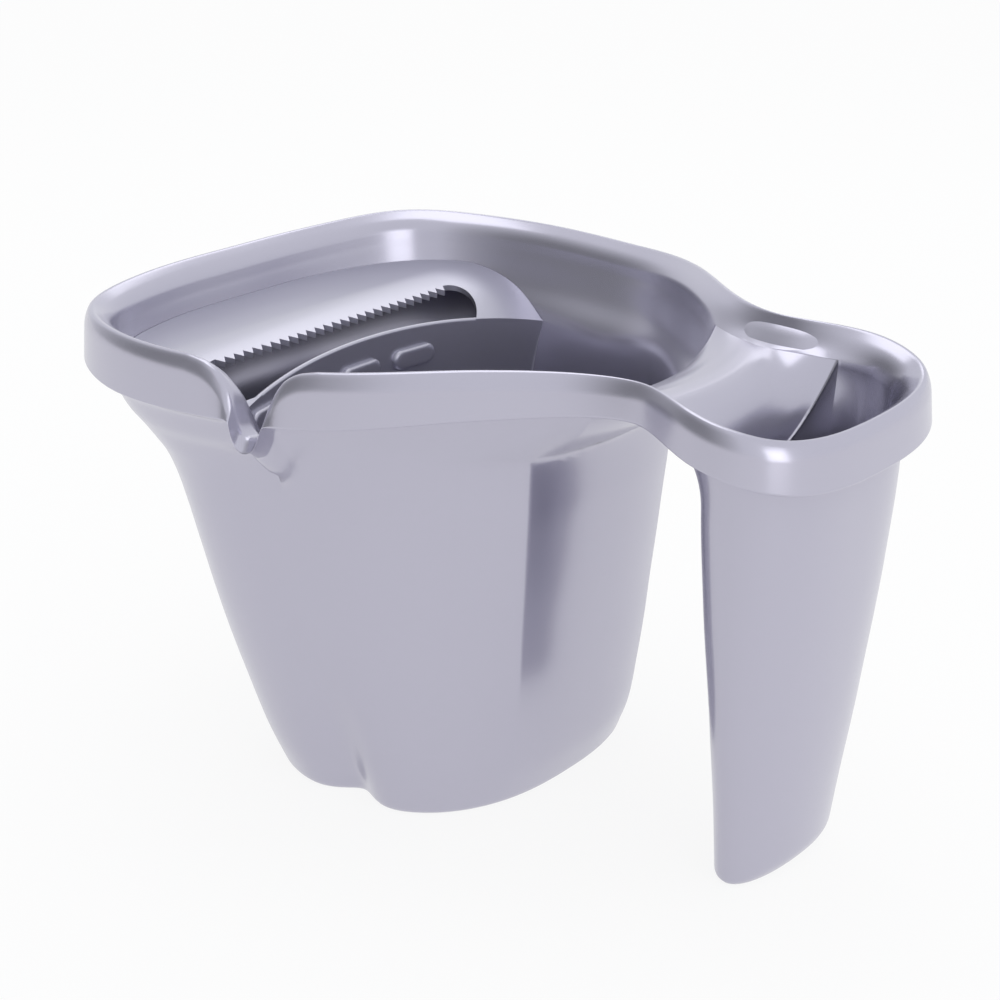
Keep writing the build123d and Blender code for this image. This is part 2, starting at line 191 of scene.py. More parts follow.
RIB_PITCH = 32.5
RIB_ROW_Y = -18.5
RIB_Z = 157.0
# The rib's edge, as shares of its half width and of how far it stands out.
RIB_SECTION = [(1.0, -0.2), (1.0, 0.45), (0.96, 0.72), (0.86, 0.9), (0.7, 0.98), (0.45, 1.0)]
RIB_STEPS = 56


# ------------------------------------------------------------------ curves
def smooth(value):
    """Zero to one with level ends."""
    value = np.clip(value, 0.0, 1.0)
    return value * value * (3 - 2 * value)


def monotone(places, values, at):
    """Smooth reading through stations that never overshoots them."""
    places = np.asarray(places, float)
    values = np.asarray(values, float)
    step = np.diff(places)
    slope = np.diff(values) / step
    tangent = np.zeros(len(places))
    for i in range(1, len(places) - 1):
        if slope[i - 1] * slope[i] > 0:
            first = 2 * step[i] + step[i - 1]
            second = step[i] + 2 * step[i - 1]
            tangent[i] = (first + second) / (first / slope[i - 1] + second / slope[i])
    tangent[0] = slope[0]
    tangent[-1] = slope[-1]
    at = np.clip(np.asarray(at, float), places[0], places[-1])
    i = np.clip(np.searchsorted(places, at) - 1, 0, len(step) - 1)
    t = (at - places[i]) / step[i]
    low = (1 + 2 * t) * (1 - t) ** 2 * values[i] + t * (1 - t) ** 2 * step[i] * tangent[i]
    high = t * t * (3 - 2 * t) * values[i + 1] - t * t * (1 - t) * step[i] * tangent[i + 1]
    return low + high


def closed_curve(places, samples):
    """Dense samples of the smooth closed curve through some places."""
    places = np.asarray(places, float)
    count = len(places)
    step = np.linalg.norm(np.roll(places, -1, 0) - places, axis=1)
    matrix = np.zeros((count, count))
    right = np.zeros_like(places)
    for i in range(count):
        after = (i + 1) % count
        matrix[i, i - 1] = step[i]
        matrix[i, i] = 2 * (step[i - 1] + step[i])
        matrix[i, after] = step[i - 1]
        back = step[i] * (places[i] - places[i - 1]) / step[i - 1]
        ahead = step[i - 1] * (places[after] - places[i]) / step[i]
        right[i] = 3 * (back + ahead)
    tangent = np.linalg.solve(matrix, right)
    result = []
    t = np.linspace(0, 1, samples, endpoint=False)[:, None]
    for i in range(count):
        after = (i + 1) % count
        low = (1 + 2 * t) * (1 - t) ** 2 * places[i] + t * (1 - t) ** 2 * step[i] * tangent[i]
        high = t * t * (3 - 2 * t) * places[after] - t * t * (1 - t) * step[i] * tangent[after]
        result.append(low + high)
    return np.concatenate(result)


def rounded(corners, radii, steps=5):
    """An open path with its inner corners rounded; every path has the same number of points."""
    corners = [np.array(c, float) for c in corners]
    path = [corners[0]]
    for i in range(1, len(corners) - 1):
        back = corners[i - 1] - corners[i]
        ahead = corners[i + 1] - corners[i]
        free = 0.9 if i == 1 else 0.45
        reach = min(radii[i - 1], free * np.linalg.norm(back), 0.45 * np.linalg.norm(ahead))
        start = corners[i] + reach * back / np.linalg.norm(back)
        end = corners[i] + reach * ahead / np.linalg.norm(ahead)
        for k in range(steps + 1):
            t = k / steps
            path.append((1 - t) ** 2 * start + 2 * t * (1 - t) * corners[i] + t * t * end)
    path.append(corners[-1])
    return np.array(path)


# ------------------------------------------------------------------ net of stations along the lip
def crest_height(x):
    """Height of the lip's crest over the floor, without the spout's notch."""
    end = RIM_LENGTH / 2
    rise = NECK_RISE * smooth((x - NECK_RISE_START) / NECK_RISE_RUN)
    droop = HANDLE_DROOP * (np.clip((x - NECK_X) / (end - NECK_X), 0, 1)) ** DROOP_POWER
    return RIM_HEIGHT + np.where(x > NECK_X, NECK_RISE - droop, rise)


def notch_depth(x, y):
    """Depth of the spout's notch under the crest, which is on the front only."""
    places = [place for place, _ in NOTCH]
    depths = [depth for _, depth in NOTCH]
    return np.where(y < 0, monotone(places, depths, x), 0.0)


def crest_stations():
    """Places along the crest in plan, closer together at the spout and round the ring."""
    half = [(x * RIM_LENGTH / 2, y * RIM_WIDTH / 2) for x, y in RIM_SHAPE]
    loop = half + [(x, -y) for x, y in reversed(half[1:-1])]
    dense = closed_curve(loop, CREST_SAMPLES)
    step = np.linalg.norm(np.roll(dense, -1, 0) - dense, axis=1)
    x, y = dense.T
    spout = np.exp(-(((x - SPOUT_X) / 22.0) ** 4)) * (y < 0)
    ring = smooth((x - 40) / 60)
    density = step * (STATION_DENSITY + SPOUT_DENSITY * spout + RING_DENSITY * ring)
    total = np.concatenate([[0], np.cumsum(density)])
    count = int(round(total[-1] / 2)) * 2
    at = np.linspace(0, total[-1], count, endpoint=False)
    closed = np.vstack([dense, dense[:1]])
    return np.stack([np.interp(at, total, closed[:, k]) for k in (0, 1)], axis=1)


crest = crest_stations()
ahead = np.roll(crest, -1, 0) - np.roll(crest, 1, 0)
ahead /= np.linalg.norm(ahead, axis=1)[:, None]
outward = np.stack([-ahead[:, 1], ahead[:, 0]], axis=1)
depth = notch_depth(crest[:, 0], crest[:, 1])
corner = np.hypot(crest[:, 0] - CORNER[0], crest[:, 1] - CORNER[1]) / CORNER_REACH
crest_z = crest_height(crest[:, 0]) - depth + CORNER_LIFT * np.exp(-(corner**2))
STATIONS = len(crest)

ring_share = smooth((crest[:, 0] - NECK_X) / (RIM_LENGTH / 2 - NECK_X))
lip_inset = LIP_INSET + (RING_INSET - LIP_INSET) * ring_share
in_notch = smooth(depth / 22.0)
neck_share = np.exp(-(((crest[:, 0] - LIP_SWELL_X) / LIP_SWELL_REACH) ** 2))
root_drop = LIP_DROP - (LIP_DROP - LIP_DROP_NOTCH) * in_notch
skirt = monotone(SKIRT_PLACES, SKIRT_HEIGHTS, crest[:, 0]) - depth
skirt = CHIN_SKIRT + np.logaddexp(0, (skirt - CHIN_SKIRT) * SKIRT_SHARPNESS) / SKIRT_SHARPNESS

# The skirt is hollow toward the handle, and runs into the wall at the flared end.
filled = 1 - smooth((crest[:, 0] + 50) / 26)
filled = np.maximum(filled, smooth(depth / 26))
under_drop = LIP_UNDER + filled * (skirt + SKIRT_RUN_OUT - LIP_UNDER)


def lip_profile(i):
    """Section of the lip at a station: inner root, slope, crest, skirt and underside."""
    root = -lip_inset[i] - WALL
    drop = root_drop[i]
    low = -skirt[i]
    tip = LIP_FLARE + 1.2 * in_notch[i]
    upper = min(5.0, 0.5 * skirt[i])
    inside = tip - LIP_SKIN
    hollow = np.array([(-0.5, -LIP_SKIN - 1.2), (-0.5 * lip_inset[i], -LIP_SKIN - 4.0)])
    run_out = 0.62 * inside - 0.38 * lip_inset[i]
    solid = np.array([(run_out, low - 1.6), (-0.8 * lip_inset[i], low - 4.5)])
    under = hollow * (1 - filled[i]) + solid * filled[i]
    swell = neck_share[i]
    corners = [
        (root, -drop),
        (root + 1.2 + 5.3 * swell, -(0.42 + 0.53 * swell) * drop),
        (-0.6, 0.55),
        (1.9, -upper),
        (tip, low),
        (inside, low),
        tuple(under[0]),
        tuple(under[1]),
        (-lip_inset[i], -under_drop[i]),
    ]
    radii = [4.2 + 4.0 * swell, 2.9, 4.0, 1.0, 1.0, 3.0, 4.0]
    return rounded(corners, radii)


profiles = np.array([lip_profile(i) for i in range(STATIONS)])
lip_net = np.zeros((STATIONS, profiles.shape[1], 3))
lip_net[:, :, :2] = crest[:, None, :] + profiles[:, :, :1] * outward[:, None, :]
lip_net[:, :, 2] = crest_z[:, None] + profiles[:, :, 1]
inner_root = lip_net[:, 0]
outer_root = lip_net[:, -1]


def side_stations(root, low_x, high_x):
    """Stations on the back, in order of x, whose root lies between two places along the neck."""
    return [i for i in range(STATIONS // 2 + 1) if low_x <= root[i, 0] <= high_x]


def opposite(i):
    """The station on the front that mirrors one on the back."""
    return int(np.argmin(np.hypot(crest[:, 0] - crest[i, 0], crest[:, 1] + crest[i, 1])))


# ------------------------------------------------------------------ forms of the walls
def base_radius(angle):
    """Radius of the superellipse under the bucket, in a direction from its middle."""
    across = np.abs(np.cos(angle)) / BASE_HALF_LENGTH
    along = np.abs(np.sin(angle)) / BASE_HALF_WIDTH
    return (across**BASE_SQUARENESS + along**BASE_SQUARENESS) ** (-1 / BASE_SQUARENESS)


def bucket_place(top, z, thickness, cone_top=None):
    """Places on the bucket's wall under its top places, at heights given for each."""
    centre = np.array([BASE_CENTRE_X, 0.0])
    arm = top[:, :2] - centre
    reach = np.linalg.norm(arm, axis=1)
    direction = arm / reach[:, None]
    angle = np.arctan2(arm[:, 1], arm[:, 0])
    limit = reach if cone_top is None else np.minimum(cone_top, reach)
    climb = np.clip((z - FLARE_TURN) / (top[:, 2] - FLARE_TURN), 0, 1)
    level = z + (FLARE_TOP - top[:, 2]) * climb**2
    left = monotone(FLARE_HEIGHTS, FLARE_LEFT, level)
    right = monotone(FLARE_HEIGHTS, FLARE_RIGHT, level)
    share = right + (left - right) * smooth((BASE_CENTRE_X + 10 - top[:, 0]) / 90)
    fade = FLUTE_DEPTH * smooth(1 - z / FLUTE_HEIGHT)
    pull = fade * np.exp(-(((np.abs(angle) - FLUTE_ANGLE) / FLUTE_SPREAD) ** 2))
    base = base_radius(angle) - thickness
    radius = base + share * (limit - base) - pull
    if cone_top is not None:
        share_there = monotone(FLARE_HEIGHTS, FLARE_RIGHT, np.full(len(z), COVE_START))
        start = base + share_there * (limit - base)
        t = np.clip((z - COVE_START) / (top[:, 2] - COVE_START), 0, 1)
        coved = start + (reach - start) * (1 - (1 - t) ** COVE_POWER)
        amount = (1 - smooth((np.abs(angle) - COVE_ANGLE) / COVE_SPREAD)) * (z > COVE_START)
        beyond = radius + (reach - limit) * smooth(t)
        radius = beyond + amount * (coved - beyond)
    return np.column_stack([centre + radius[:, None] * direction, z])


def tube_place(top, z, thickness, near_x):
    """Places on the tube's wall under its top places, at heights given for each."""
    centre = monotone(TUBE_HEIGHTS, TUBE_CENTRES, z)
    length = monotone(TUBE_HEIGHTS, TUBE_HALF_LENGTHS, z) - thickness
    width = monotone(TUBE_HEIGHTS, TUBE_HALF_WIDTHS, z) - thickness
    across = (top[:, 0] - TUBE_CENTRES[-1]) / TUBE_HALF_LENGTHS[-1]
    angle = np.arctan2(top[:, 1] / TUBE_HALF_WIDTHS[-1], across)
    power = 2 / monotone(TUBE_HEIGHTS, TUBE_SQUARENESS, z)
    run = np.sign(np.cos(angle)) * np.abs(np.cos(angle)) ** power
    rise = np.sign(np.sin(angle)) * np.abs(np.sin(angle)) ** power
    oval = np.column_stack([centre + length * run, width * rise])
    target = np.column_stack([np.maximum(top[:, 0], near_x), top[:, 1]])
    share = smooth((z - TUBE_TURN) / (top[:, 2] - TUBE_TURN))[:, None]
    place = oval + share * (target - oval)
    t = np.clip((z - TUBE_ROLL) / (top[:, 2] - TUBE_ROLL), 0, 1)[:, None]
    place = place + (top[:, :2] - target) * t**TUBE_ROLL_POWER
    return np.column_stack([place, z])


# ------------------------------------------------------------------ the pool of surfaces
class Pool:
    """Surfaces that share their borders, so that the shading runs on from one to the next."""

    def __init__(self):
        self.places = []
        self.index = {}
        self.faces = []
        self.tags = []

    def vertex(self, place):
        """The number of the vertex at a place, made if it isn't there yet."""
        key = tuple(np.round(np.asarray(place, float), 3) + 0.0)
        if key not in self.index:
            self.index[key] = len(self.places)
            self.places.append(np.asarray(place, float))
        return self.index[key]

    def face(self, corners, tag):
        """A face of one CAD node; corners that fall together count once."""
        ids = []
        for corner in corners:
            v = self.vertex(corner)
            if v not in ids:
                ids.append(v)
        if len(ids) > 2:
            self.faces.append(ids)
            self.tags.append(tag)

    def grid(self, net, tag, closed=False, flip=False):
        """A surface through a net of places; closed joins the last row to the first."""
        rows = len(net)
        for i in range(rows if closed else rows - 1):
            after = (i + 1) % rows
            for k in range(len(net[0]) - 1):
                corners = [net[i][k], net[after][k], net[after][k + 1], net[i][k + 1]]
                self.face(corners[::-1] if flip else corners, tag)

    def normals(self):
        """Normals of the vertices, weighted by the area of the faces round them."""
        places = np.array(self.places)
        result = np.zeros_like(places)
        for ids in self.faces:
            corners = places[ids]
            area = np.zeros(3)
            for k in range(1, len(ids) - 1):
                area += np.cross(corners[k] - corners[0], corners[k + 1] - corners[0])
            result[ids] += area
        return result / np.maximum(np.linalg.norm(result, axis=1), 1e-9)[:, None]


def make_object(name, places, faces, material, normals=None):
    """A mesh object in metres, smooth shaded, from places in millimetres."""
    mesh = bpy.data.meshes.new(name)
    mesh.from_pydata([tuple(p * MM) for p in places], [], faces)
    mesh.validate()
    mesh.shade_smooth()
    if normals is not None and len(mesh.vertices) == len(places):
        mesh.normals_split_custom_set_from_vertices([tuple(n) for n in normals])
    mesh.materials.append(material)
    obj = bpy.data.objects.new(name, mesh)
    bpy.context.scene.collection.objects.link(obj)
    return obj


def objects_from(pool, pieces):
    """One object for each tag of the pool; pieces gives its name, material, body and slot, and the
    slot is not used.
    """
    normals = pool.normals()
    for tag, (name, material, body, slot_name) in pieces.items():
        chosen = [ids for ids, t in zip(pool.faces, pool.tags) if t == tag]
        used = sorted({v for ids in chosen for v in ids})
        renumber = {v: i for i, v in enumerate(used)}
        faces = [[renumber[v] for v in ids] for ids in chosen]
        places = [pool.places[v] for v in used]
        obj = make_object(name, places, faces, material, normals[used])
        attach(obj, body)
        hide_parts(tag)


# ------------------------------------------------------------------ materials
def plastic(name, dark, light, roughness, bump):
    """Pearly moulded plastic: faint clouding of its colour, uneven gloss and a fine mould grain."""
    material = bpy.data.materials.new(name)
    material.use_nodes = True
    nodes = material.node_tree.nodes
    links = material.node_tree.links
    shader = nodes["Principled BSDF"]
    place = nodes.new("ShaderNodeTexCoord")

    def noise(scale, detail):
        """A noise over the object's own coordinates, for one of the uneven qualities."""
        texture = nodes.new("ShaderNodeTexNoise")
        texture.inputs["Scale"].default_value = scale
        texture.inputs["Detail"].default_value = detail
        links.new(place.outputs["Object"], texture.inputs["Vector"])
        return texture.outputs["Fac"]

    colour = nodes.new("ShaderNodeMix")
    colour.data_type = "RGBA"
    colour.inputs["A"].default_value = (*dark, 1)
    colour.inputs["B"].default_value = (*light, 1)
    links.new(noise(9.0, 3.0), colour.inputs["Factor"])
    links.new(colour.outputs["Result"], shader.inputs["Base Color"])

    gloss = nodes.new("ShaderNodeMapRange")
    gloss.inputs["To Min"].default_value = roughness - 0.01
    gloss.inputs["To Max"].default_value = roughness + 0.01
    links.new(noise(55.0, 4.0), gloss.inputs["Value"])
    links.new(gloss.outputs["Result"], shader.inputs["Roughness"])

    relief = nodes.new("ShaderNodeBump")
    relief.inputs["Strength"].default_value = bump
    relief.inputs["Distance"].default_value = 0.00002
    links.new(noise(1400.0, 2.0), relief.inputs["Height"])
    links.new(relief.outputs["Normal"], shader.inputs["Normal"])

    shader.inputs["Metallic"].default_value = 0.8
    shader.inputs["Coat Weight"].default_value = 0.15
    shader.inputs["Coat Roughness"].default_value = 0.12
    return material


PAIL = plastic("pail_plastic", (0.485, 0.475, 0.565), (0.50, 0.49, 0.58), 0.25, 0.12)
LIP = plastic("lip_plastic", (0.49, 0.48, 0.57), (0.505, 0.495, 0.585), 0.24, 0.10)
TUBE = plastic("tube_plastic", (0.485, 0.475, 0.565), (0.50, 0.49, 0.58), 0.25, 0.12)
INSERT = plastic("insert_plastic", (0.485, 0.48, 0.56), (0.50, 0.495, 0.575), 0.32, 0.25)


# ------------------------------------------------------------------ the pail
pail = Pool()
pail.grid(lip_net, "rim_collar", closed=True, flip=True)

ACROSS = 48  # steps across the neck


def neck_frame(root, low_x, high_x):
    """The stations along both sides of the neck, as pairs from the bucket to the tube."""
    stations = side_stations(root, low_x, high_x)
    return [(i, opposite(i)) for i in stations]


def neck_net(root, pairs, middle):
    """The net of a saddle over the neck, its sides on the roots of the lip."""
    middle = np.array(middle, float)
    run = np.concatenate([[0], np.cumsum(np.linalg.norm(np.diff(middle, axis=0), axis=1))])
    net = []
    for n, (back, front) in enumerate(pairs):
        at = run[-1] * n / (len(pairs) - 1)
        x_middle = monotone(run, middle[:, 0], at)
        z_middle = np.interp(at, run, middle[:, 1])
        row = []
        for k in range(ACROSS + 1):
            v = math.sin((1 - 2 * k / ACROSS) * math.pi / 2)
            side = root[back] if v >= 0 else root[front]
            weight = abs(v) ** SADDLE_POWER
            x = x_middle + weight * (side[0] - x_middle)
            y = abs(v) * side[1]
            z = z_middle + weight * (side[2] - z_middle)
            row.append(np.array([x, y, z]))
        net.append(row)
    return net


SADDLE_LINE = [  # the saddle on the plane of symmetry, as x and height
    (END_WALL_X, 181.0),
    (68.6, 183.0),
    (72.0, 185.0),
    (80.0, 187.6),
    (88.0, 188.8),
    (94.0, 188.6),
    (99.0, 187.0),
    (103.5, 183.6),
    (107.5, 178.2),
    (110.5, 171.4),
    (112.6, 164.0),
    (TUBE_MOUTH_X, 157.0),
]
UNDER_LINE = [  # the same under the saddle
    (COVE_X, 184.0),
    (90.0, 185.0),
    (96.0, 184.0),
    (101.0, 180.0),
    (TUBE_NECK_X, 173.0),
]

top_pairs = neck_frame(inner_root, 57.0, 119.0)
under_pairs = neck_frame(outer_root, 76.0, 110.0)
saddle_top = neck_net(inner_root, top_pairs, SADDLE_LINE)
saddle_under = neck_net(outer_root, under_pairs, UNDER_LINE)
pail.grid(saddle_top, "saddle_bridge", flip=True)
pail.grid(saddle_under, "saddle_bridge")


def loop_of(root, pairs, net, bucket):
    """The closed top loop of the bucket or the tube: along the lip, then across the neck."""
    if bucket:
        back, front = pairs[0]
        along = [root[i] for i in range(front, STATIONS)] + [root[i] for i in range(0, back + 1)]
        return np.array(along + list(net[0][1:-1]))
    back, front = pairs[-1]
    along = [root[i] for i in range(back, front + 1)]
    return np.array(along + list(reversed(net[-1][1:-1])))


def cap(pool, loop, z, tag, rings, up):
    """A flat floor inside a loop."""
    loop = np.asarray(loop)
    middle = np.array([loop[:, 0].mean(), 0.0, z])
    net = []
    for place in loop:
        net.append([place + (middle - place) * (k / rings) for k in range(rings + 1)])
    pool.grid(net, tag, closed=True, flip=not up)


def foot_rounded(place, z, low, radius, inward):
    """Moves places near the floor inward along a rounded edge."""
    rise = np.clip((radius - (z - low)) / np.maximum(radius, 1e-6), 0, 1)
    move = radius * (1 - np.sqrt(np.maximum(1 - rise**2, 0)))
    place = place.copy()
    place[:, :2] += inward * move[:, None]
    return place


# inner wall of the bucket
inner_top = loop_of(inner_root, top_pairs, saddle_top, True)
outer_top = loop_of(outer_root, under_pairs, saddle_under, True)


def toward(top, centre):
    """Unit directions in plan from places to a centre."""
    arm = np.array(centre) - top[:, :2]
    return arm / np.linalg.norm(arm, axis=1)[:, None]


def heights(top, floor, shares):
    """For each share, the heights of all the places of a loop between the floor and the top."""
    return [floor + share * (top[:, 2] - floor) for share in shares]


# Rows of the walls from the lip down, as shares of the height, closer together at the foot.
FOOT_SHARES = [0.024, 0.016, 0.010, 0.0055, 0.0022, 0.0006, 0.0]
WALL_SHARES = list(np.linspace(1, 0.03, 86)) + FOOT_SHARES
TUBE_SHARES = list(np.linspace(1, 0.09, 66)) + list(0.085 * (np.linspace(1, 0, 12) ** 1.8))


def bucket_wall(top, floor, thickness, cone_top, radius):
    """The net of a wall of the bucket, one row of places down from each place of its top loop."""
    rows = []
    for z in heights(top, floor, WALL_SHARES):
        place = bucket_place(top, z, thickness, cone_top)
        rows.append(foot_rounded(place, z, floor, radius, toward(top, (BASE_CENTRE_X, 0))))
    rows[0] = top
    return np.array(rows).transpose(1, 0, 2)


def cone_reach(top):
    """How far the cone of the bucket would reach at the lip, in the directions of a loop."""
    arm = inner_top[:, :2] - np.array([BASE_CENTRE_X, 0.0])
    angle = np.arctan2(arm[:, 1], arm[:, 0])
    order = np.argsort(angle)
    wanted = np.arctan2(top[:, 1], top[:, 0] - BASE_CENTRE_X)
    reach = np.hypot(arm[:, 0], arm[:, 1])[order]
    return np.interp(wanted, angle[order], reach, period=2 * math.pi) + WALL


inner_wall = bucket_wall(inner_top, FLOOR, WALL, None, INNER_ROUND)
outer_wall = bucket_wall(outer_top, 0.0, 0.0, cone_reach(outer_top), BASE_ROUND)
pail.grid(inner_wall, "pail_shell", closed=True)
pail.grid(outer_wall, "pail_shell", closed=True, flip=True)
cap(pail, inner_wall[:, -1], FLOOR, "pail_shell", 12, True)
cap(pail, outer_wall[:, -1], 0.0, "pail_shell", 12, False)

# walls of the tube
tube_inner_top = loop_of(inner_root, top_pairs, saddle_top, False)
tube_outer_top = loop_of(outer_root, under_pairs, saddle_under, False)


def tube_wall(top, floor, thickness, near_x, radius):
    """The net of a wall of the tube, its foot rounded more on the outer end."""
    rows = []
    across = (top[:, 0] - TUBE_CENTRES[-1]) / TUBE_HALF_LENGTHS[-1]
    angle = np.arctan2(top[:, 1] / TUBE_HALF_WIDTHS[-1], across)
    edge = radius * (1 + TUBE_EDGE_SWELL * smooth(np.cos(angle)))
    for z in heights(top, floor, TUBE_SHARES):
        place = tube_place(top, z, thickness, near_x)
        inward = toward(place, (TUBE_CENTRES[0], 0))
        rows.append(foot_rounded(place, z, floor, edge, inward))
    rows[0] = top
    return np.array(rows).transpose(1, 0, 2)


tube_inner = tube_wall(tube_inner_top, FLOOR, WALL, TUBE_MOUTH_X, TUBE_ROUND)
tube_outer = tube_wall(tube_outer_top, 0.0, 0.0, TUBE_MOUTH_X - WALL, TUBE_ROUND)
pail.grid(tube_inner, "handle_tube", closed=True)
pail.grid(tube_outer, "handle_tube", closed=True, flip=True)
cap(pail, tube_inner[:, -1], FLOOR, "handle_tube", 5, True)
cap(pail, tube_outer[:, -1], 0.0, "handle_tube", 5, False)

# The spout is the part of the lip inside its notch.
for n, ids in enumerate(pail.faces):
    if pail.tags[n] == "rim_collar":
        middle = np.mean([pail.places[v] for v in ids], axis=0)
        if middle[1] < 0 and abs(middle[0] - SPOUT_X) < SPOUT_HALF_WIDTH:
            pail.tags[n] = "pour_spout"

objects_from(
    pail,
    {
        "pail_shell": ("pail_wall", PAIL, "pail", "pail_plastic"),
        "rim_collar": ("lip_with_skirt", LIP, "pail", "lip_plastic"),
        "pour_spout": ("spout_notch", LIP, "pail", "lip_plastic"),
        "saddle_bridge": ("saddle_over_neck", LIP, "pail", "lip_plastic"),
        "handle_tube": ("hollow_handle", TUBE, "pail", "tube_plastic"),
    },
)

# ------------------------------------------------------------------ the insert
deck_z = RIM_HEIGHT - DECK_DROP
fold_centre = FOLD_X + FOLD_RADIUS


def deck_height(x):
    """Height of the deck's top face, which rolls down toward the apron."""
    t = np.clip((x - (SLOPE_TOE_X - SLOPE_LENGTH)) / SLOPE_LENGTH, 0, 1.2)
    return deck_z - SLOPE_FALL * t**SLOPE_POWER


def fold_x(y, offset=0.0):
    """Where the apron's face stands at a place across the pail."""
    radius = FOLD_RADIUS - offset
    return fold_centre - np.sqrt(radius**2 - np.asarray(y, float) ** 2)


def inner_line(z):
    """The bucket's inner outline at a height, moved in by the insert's clearance."""
    line = bucket_place(inner_top, np.full(len(inner_top), z), WALL)
    arm = toward(inner_top, (BASE_CENTRE_X, 0))
    line[:, :2] += arm * INSERT_GAP
    return line


def wall_end(z, side, offset):
    """Place across the pail where the apron meets the wall at a height."""
    line = inner_line(z)
    line = line[(line[:, 0] < 0) & (line[:, 1] * side > 0)]
    gap = line[:, 0] - fold_x(np.clip(line[:, 1], -200, 200), offset)
    order = np.argsort(gap)
    return float(np.interp(0.0, gap[order], line[order, 1]))


def slot_outline():
    """The slot in plan: teeth along its straight side, rounded ends, open over the apron."""
    pitch = TEETH_SPAN / TEETH
    outline = []
    for i in range(TEETH):
        y = -TEETH_SPAN / 2 + i * pitch
        outline.append((SLOT_X, y))
        outline.append((SLOT_X + TOOTH_DEPTH, y + 0.5 * pitch))
    outline.append((SLOT_X, TEETH_SPAN / 2))
    narrow = SLOT_HALF_WIDTH - SLOT_NARROWING
    start = np.array([SLOT_X, TEETH_SPAN / 2])
    lift = np.array([SLOT_X + 1.0, SLOT_HALF_WIDTH + 3.5])
    fall = np.array([FOLD_X - 2.0, SLOT_HALF_WIDTH + 5.0])
    stop = np.array([FOLD_X + 9.0, narrow])
    end = []
    for k in range(1, SLOT_END_STEPS + 1):
        t = k / SLOT_END_STEPS
        place = (
            (1 - t) ** 3 * start
            + 3 * t * (1 - t) ** 2 * lift
            + 3 * t * t * (1 - t) * fall
            + t**3 * stop
        )
        end.append(tuple(place))
    outline += end
    for k in reversed(range(SLOT_END_STEPS)):
        x, y = end[k]
        outline.append((x, -y - SLOT_FRONT_REACH * k / (SLOT_END_STEPS - 1)))
    return outline


def deck_outline():
    """The deck in plan, from the wall round to the apron, without the slot."""
    line = bucket_place(inner_top, deck_height(inner_top[:, 0]), WALL)
    line = bucket_place(inner_top, deck_height(line[:, 0]), WALL)
    line[:, :2] += toward(inner_top, (BASE_CENTRE_X, 0)) * INSERT_GAP
    inside = [(x, y) for x, y, _ in line if x < fold_x(min(max(y, -150), 150)) - 0.2]
    inside.sort(key=lambda place: math.atan2(place[1], -(place[0] + 60)))
    back_y = inside[-1][1]
    front_y = inside[0][1]
    fold = [(float(fold_x(y)), y) for y in np.linspace(back_y, front_y, 60)]
    return inside + fold


def deck_surface():
    """Top face of the deck as triangles in plan, the slot cut out."""
    outer = deck_outline()
    slot = slot_outline()
    inside_x = np.arange(-160, -64, 3.0)
    inside_y = np.arange(-112, 113, 4.0)
    ring = np.array(outer)
    hole = np.array(slot)

    def clear(x, y):
        near = np.hypot(ring[:, 0] - x, ring[:, 1] - y).min() > 2.2
        return near and np.hypot(hole[:, 0] - x, hole[:, 1] - y).min() > 1.6

    def within(x, y, polygon):
        result = False
        for (ax, ay), (bx, by) in zip(polygon, polygon[1:] + polygon[:1]):
            if (ay > y) != (by > y) and x < ax + (y - ay) * (bx - ax) / (by - ay):
                result = not result
        return result

    points = [Vector(p) for p in outer] + [Vector(p) for p in slot]
    for x in inside_x:
        for y in inside_y:
            if within(x, y, outer) and not within(x, y, slot) and clear(x, y):
                points.append(Vector((x, y)))
    edges = [(i, (i + 1) % len(outer)) for i in range(len(outer))]
    edges += [(len(outer) + i, len(outer) + (i + 1) % len(slot)) for i in range(len(slot))]
    result = delaunay_2d_cdt(points, edges, [], 1, 1e-4)
    places = np.array([tuple(p) for p in result[0]])
    faces = []
    for face in result[2]:
        x, y = places[list(face)].mean(axis=0)
        if within(x, y, outer) and not within(x, y, slot):
            a, b, c = (places[v] for v in face[:3])
            turn = (b[0] - a[0]) * (c[1] - a[1]) - (b[1] - a[1]) * (c[0] - a[0])
            faces.append(list(face) if turn > 0 else list(face)[::-1])
    return places, faces


def deck_object():
    """The deck as a sheet with crisp edges, its top and underside smooth."""
    plan, faces = deck_surface()
    used = sorted({v for face in faces for v in face})
    renumber = {v: i for i, v in enumerate(used)}
    plan = plan[used]
    faces = [[renumber[v] for v in face] for face in faces]
    top = np.column_stack([plan, deck_height(plan[:, 0])])
    bottom = top - np.array([0, 0, INSERT_SKIN])
    count = len(top)
    places = list(top) + list(bottom)
    slope = np.gradient(deck_height(np.arange(-200.0, 0.0)))
    lean = np.interp(plan[:, 0], np.arange(-200.0, 0.0), slope)
    up = np.column_stack([-lean, np.zeros(count), np.ones(count)])
    up /= np.linalg.norm(up, axis=1)[:, None]
    normals = list(up) + list(-up)
    all_faces = list(faces) + [[v + count for v in reversed(face)] for face in faces]
    borders = {}
    for face in faces:
        for a, b in zip(face, face[1:] + face[:1]):
            borders[(a, b)] = True
    for a, b in borders:
        if (b, a) not in borders:
            side = np.cross(top[b] - top[a], np.array([0, 0, -1.0]))
            side /= max(np.linalg.norm(side), 1e-9)
            start = len(places)
            places += [top[b], top[a], bottom[a], bottom[b]]
            normals += [-side] * 4
            all_faces.append([start, start + 1, start + 2, start + 3])
    obj = make_object("wringer_shelf", places, all_faces, INSERT, normals)
    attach(obj, "wringer_insert")
    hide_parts("wringer_deck")


